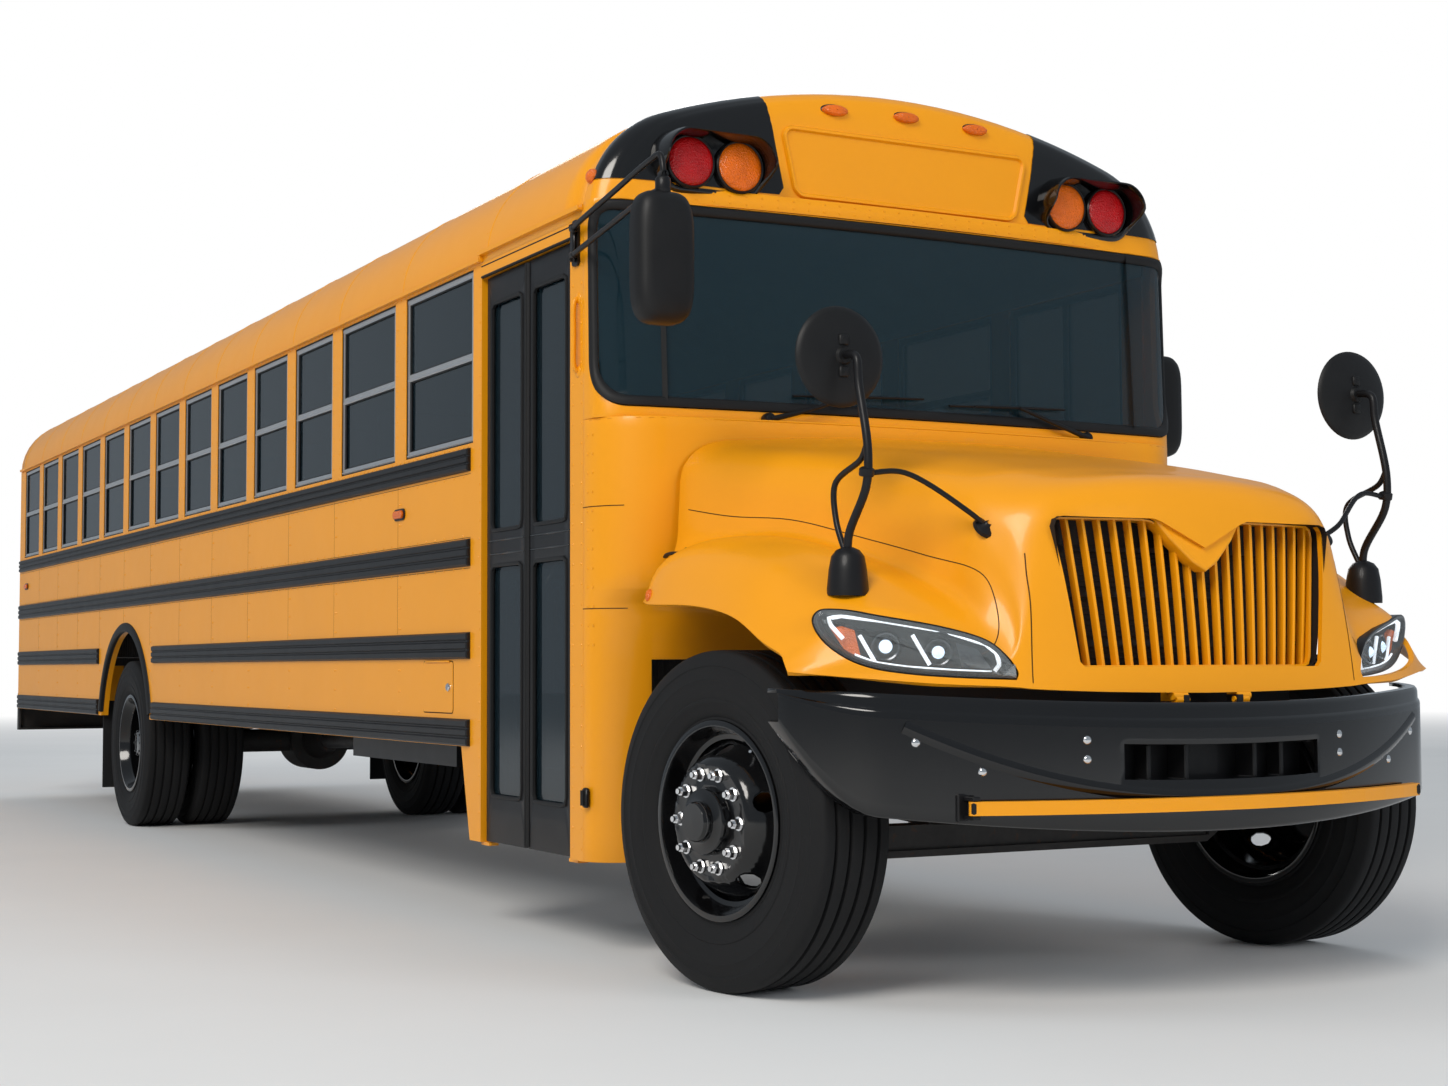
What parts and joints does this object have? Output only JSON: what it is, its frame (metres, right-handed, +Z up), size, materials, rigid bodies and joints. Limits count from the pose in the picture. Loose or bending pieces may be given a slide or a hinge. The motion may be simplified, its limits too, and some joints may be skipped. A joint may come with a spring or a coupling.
{
  "type": "school bus",
  "caption": "Conventional school bus on a ladder frame, with a tilting hood, folding-out entrance leaves, stop and crossing arms, bench seats and steered front wheels.",
  "frame": {"origin": "on the ground, midway along and across the bus", "axes": "+X forward, +Y to the driver's side, +Z up"},
  "size_m": [12.4784, 2.84, 3.0249],
  "materials": {
    "frame_black": "satin",
    "cast_steel": "rough",
    "machine_grey": "satin",
    "exhaust_steel": "satin",
    "tank_black": "satin",
    "floor_rubber": "ribbed",
    "school_yellow": "gloss",
    "bumper_black": "gloss",
    "window_aluminium": "anodised",
    "clear_glass": "polished",
    "lamp_glass": "polished",
    "lamp_red": "moulded",
    "sign_red": "reflective",
    "door_black": "satin",
    "rail_black": "satin",
    "black_plastic": "moulded",
    "seat_vinyl": "grained",
    "seat_frame": "satin",
    "dash_grey": "grained",
    "tyre": "tread",
    "rim_black": "gloss",
    "axle_steel": "machined"
  },
  "bodies": {
    "chassis": {"chassis_frame": "frame_black", "front_axle": "cast_steel", "rear_axle": "cast_steel", "leaf_springs": "frame_black", "engine_and_gearbox": "machine_grey", "driveshaft": "axle_steel", "fuel_tank": "tank_black", "exhaust": "exhaust_steel", "floor": "floor_rubber", "side_wall_left": "school_yellow", "side_wall_right": "school_yellow", "roof": "school_yellow", "front_cap": "school_yellow", "cowl": "school_yellow", "rear_wall": "school_yellow", "windshield": "clear_glass", "window_glass": "clear_glass", "window_frames": "window_aluminium", "front_bumper": "bumper_black", "rear_bumper": "bumper_black", "side_mirrors": "black_plastic", "seat_frames": "seat_frame", "seat_cushions": "seat_vinyl", "driver_seat": "seat_frame", "dashboard": "dash_grey", "lamps": "lamp_red", "rub_rails": "rail_black"},
    "rear_door": {"rear_door": "school_yellow"},
    "hood": {"hood": "school_yellow", "hood_hinges": "school_yellow", "grille": "school_yellow", "headlights": "lamp_glass", "crossover_mirrors": "black_plastic"},
    "crossing_arm": {"crossing_arm": "school_yellow"},
    "stop_arm": {"stop_arm": "sign_red"},
    "entry_leaf_front": {"entry_door_front": "door_black"},
    "entry_leaf_rear": {"entry_door_rear": "door_black"},
    "steering_wheel": {"steering_wheel": "black_plastic"},
    "knuckle_left": {"knuckle_left": "axle_steel"},
    "knuckle_right": {"knuckle_right": "axle_steel"},
    "tie_rod": {"tie_rod": "axle_steel"},
    "front_wheel_left": {"front_tyre_left": "tyre", "front_rim_left": "rim_black"},
    "front_wheel_right": {"front_tyre_right": "tyre", "front_rim_right": "rim_black"},
    "rear_wheels_left": {"rear_tyres_left": "tyre", "rear_rims_left": "rim_black"},
    "rear_wheels_right": {"rear_tyres_right": "tyre", "rear_rims_right": "rim_black"}
  },
  "joints": [
    {"name": "steer_left", "type": "hinge", "parent": "chassis", "child": "knuckle_left", "pos_m": [5.2205, 0.88, 0.508], "axis": [0, 0, 1], "range_deg": [-54, 36]},
    {"name": "steer_right", "type": "hinge", "parent": "chassis", "child": "knuckle_right", "pos_m": [5.2205, -0.88, 0.508], "axis": [0, 0, 1], "range_deg": [-54, 36]},
    {"name": "tie_rod_pivot", "type": "hinge", "parent": "knuckle_left", "child": "tie_rod", "pos_m": [5.02296, 0.84871, 0.378], "axis": [0, 0, 1], "range_deg": [-36, 54]},
    {"name": "steering_wheel_turn", "type": "hinge", "parent": "chassis", "child": "steering_wheel", "pos_m": [4.0705, 0.56, 1.79], "axis": [0.5736, 0, -0.8192], "range_deg": [-648, 972]},
    {"name": "front_wheel_left_roll", "type": "hinge", "parent": "knuckle_left", "child": "front_wheel_left", "pos_m": [5.19156, 1.06272, 0.508], "axis": [-0.1564, 0.9877, 0], "continuous": true},
    {"name": "front_wheel_right_roll", "type": "hinge", "parent": "knuckle_right", "child": "front_wheel_right", "pos_m": [5.24944, -1.06272, 0.508], "axis": [-0.1564, 0.9877, 0], "continuous": true},
    {"name": "rear_wheels_left_roll", "type": "hinge", "parent": "chassis", "child": "rear_wheels_left", "pos_m": [-2.4795, 0.8975, 0.508], "axis": [0, 1, 0], "continuous": true},
    {"name": "rear_wheels_right_roll", "type": "hinge", "parent": "chassis", "child": "rear_wheels_right", "pos_m": [-2.4795, -0.8975, 0.508], "axis": [0, 1, 0], "continuous": true},
    {"name": "hood_tilt", "type": "hinge", "parent": "chassis", "child": "hood", "pos_m": [6.1055, 0, 0.866], "axis": [0, 1, 0], "range_deg": [0, 75]},
    {"name": "entry_front_swing", "type": "hinge", "parent": "chassis", "child": "entry_leaf_front", "pos_m": [4.2605, -1.185, 0], "axis": [0, 0, 1], "range_deg": [0, 90]},
    {"name": "entry_rear_swing", "type": "hinge", "parent": "chassis", "child": "entry_leaf_rear", "pos_m": [3.4955, -1.185, 0], "axis": [0, 0, -1], "range_deg": [0, 90]},
    {"name": "rear_door_swing", "type": "hinge", "parent": "chassis", "child": "rear_door", "pos_m": [-6.1765, -0.377, 0], "axis": [0, 0, 1], "range_deg": [0, 100]},
    {"name": "stop_arm_swing", "type": "hinge", "parent": "chassis", "child": "stop_arm", "pos_m": [4.1405, 1.253, 1.45], "axis": [0, 0, -1], "range_deg": [0, 90]},
    {"name": "crossing_arm_swing", "type": "hinge", "parent": "chassis", "child": "crossing_arm", "pos_m": [6.0585, -0.8, 0.575], "axis": [0, 0, -1], "range_deg": [0, 90]}
  ],
  "couplings": [
    {"joint": "steer_right", "follows": "steer_left", "ratio": 1},
    {"joint": "tie_rod_pivot", "follows": "steer_left", "ratio": -1},
    {"joint": "steering_wheel_turn", "follows": "steer_left", "ratio": -18},
    {"joint": "entry_rear_swing", "follows": "entry_front_swing", "ratio": 1}
  ]
}
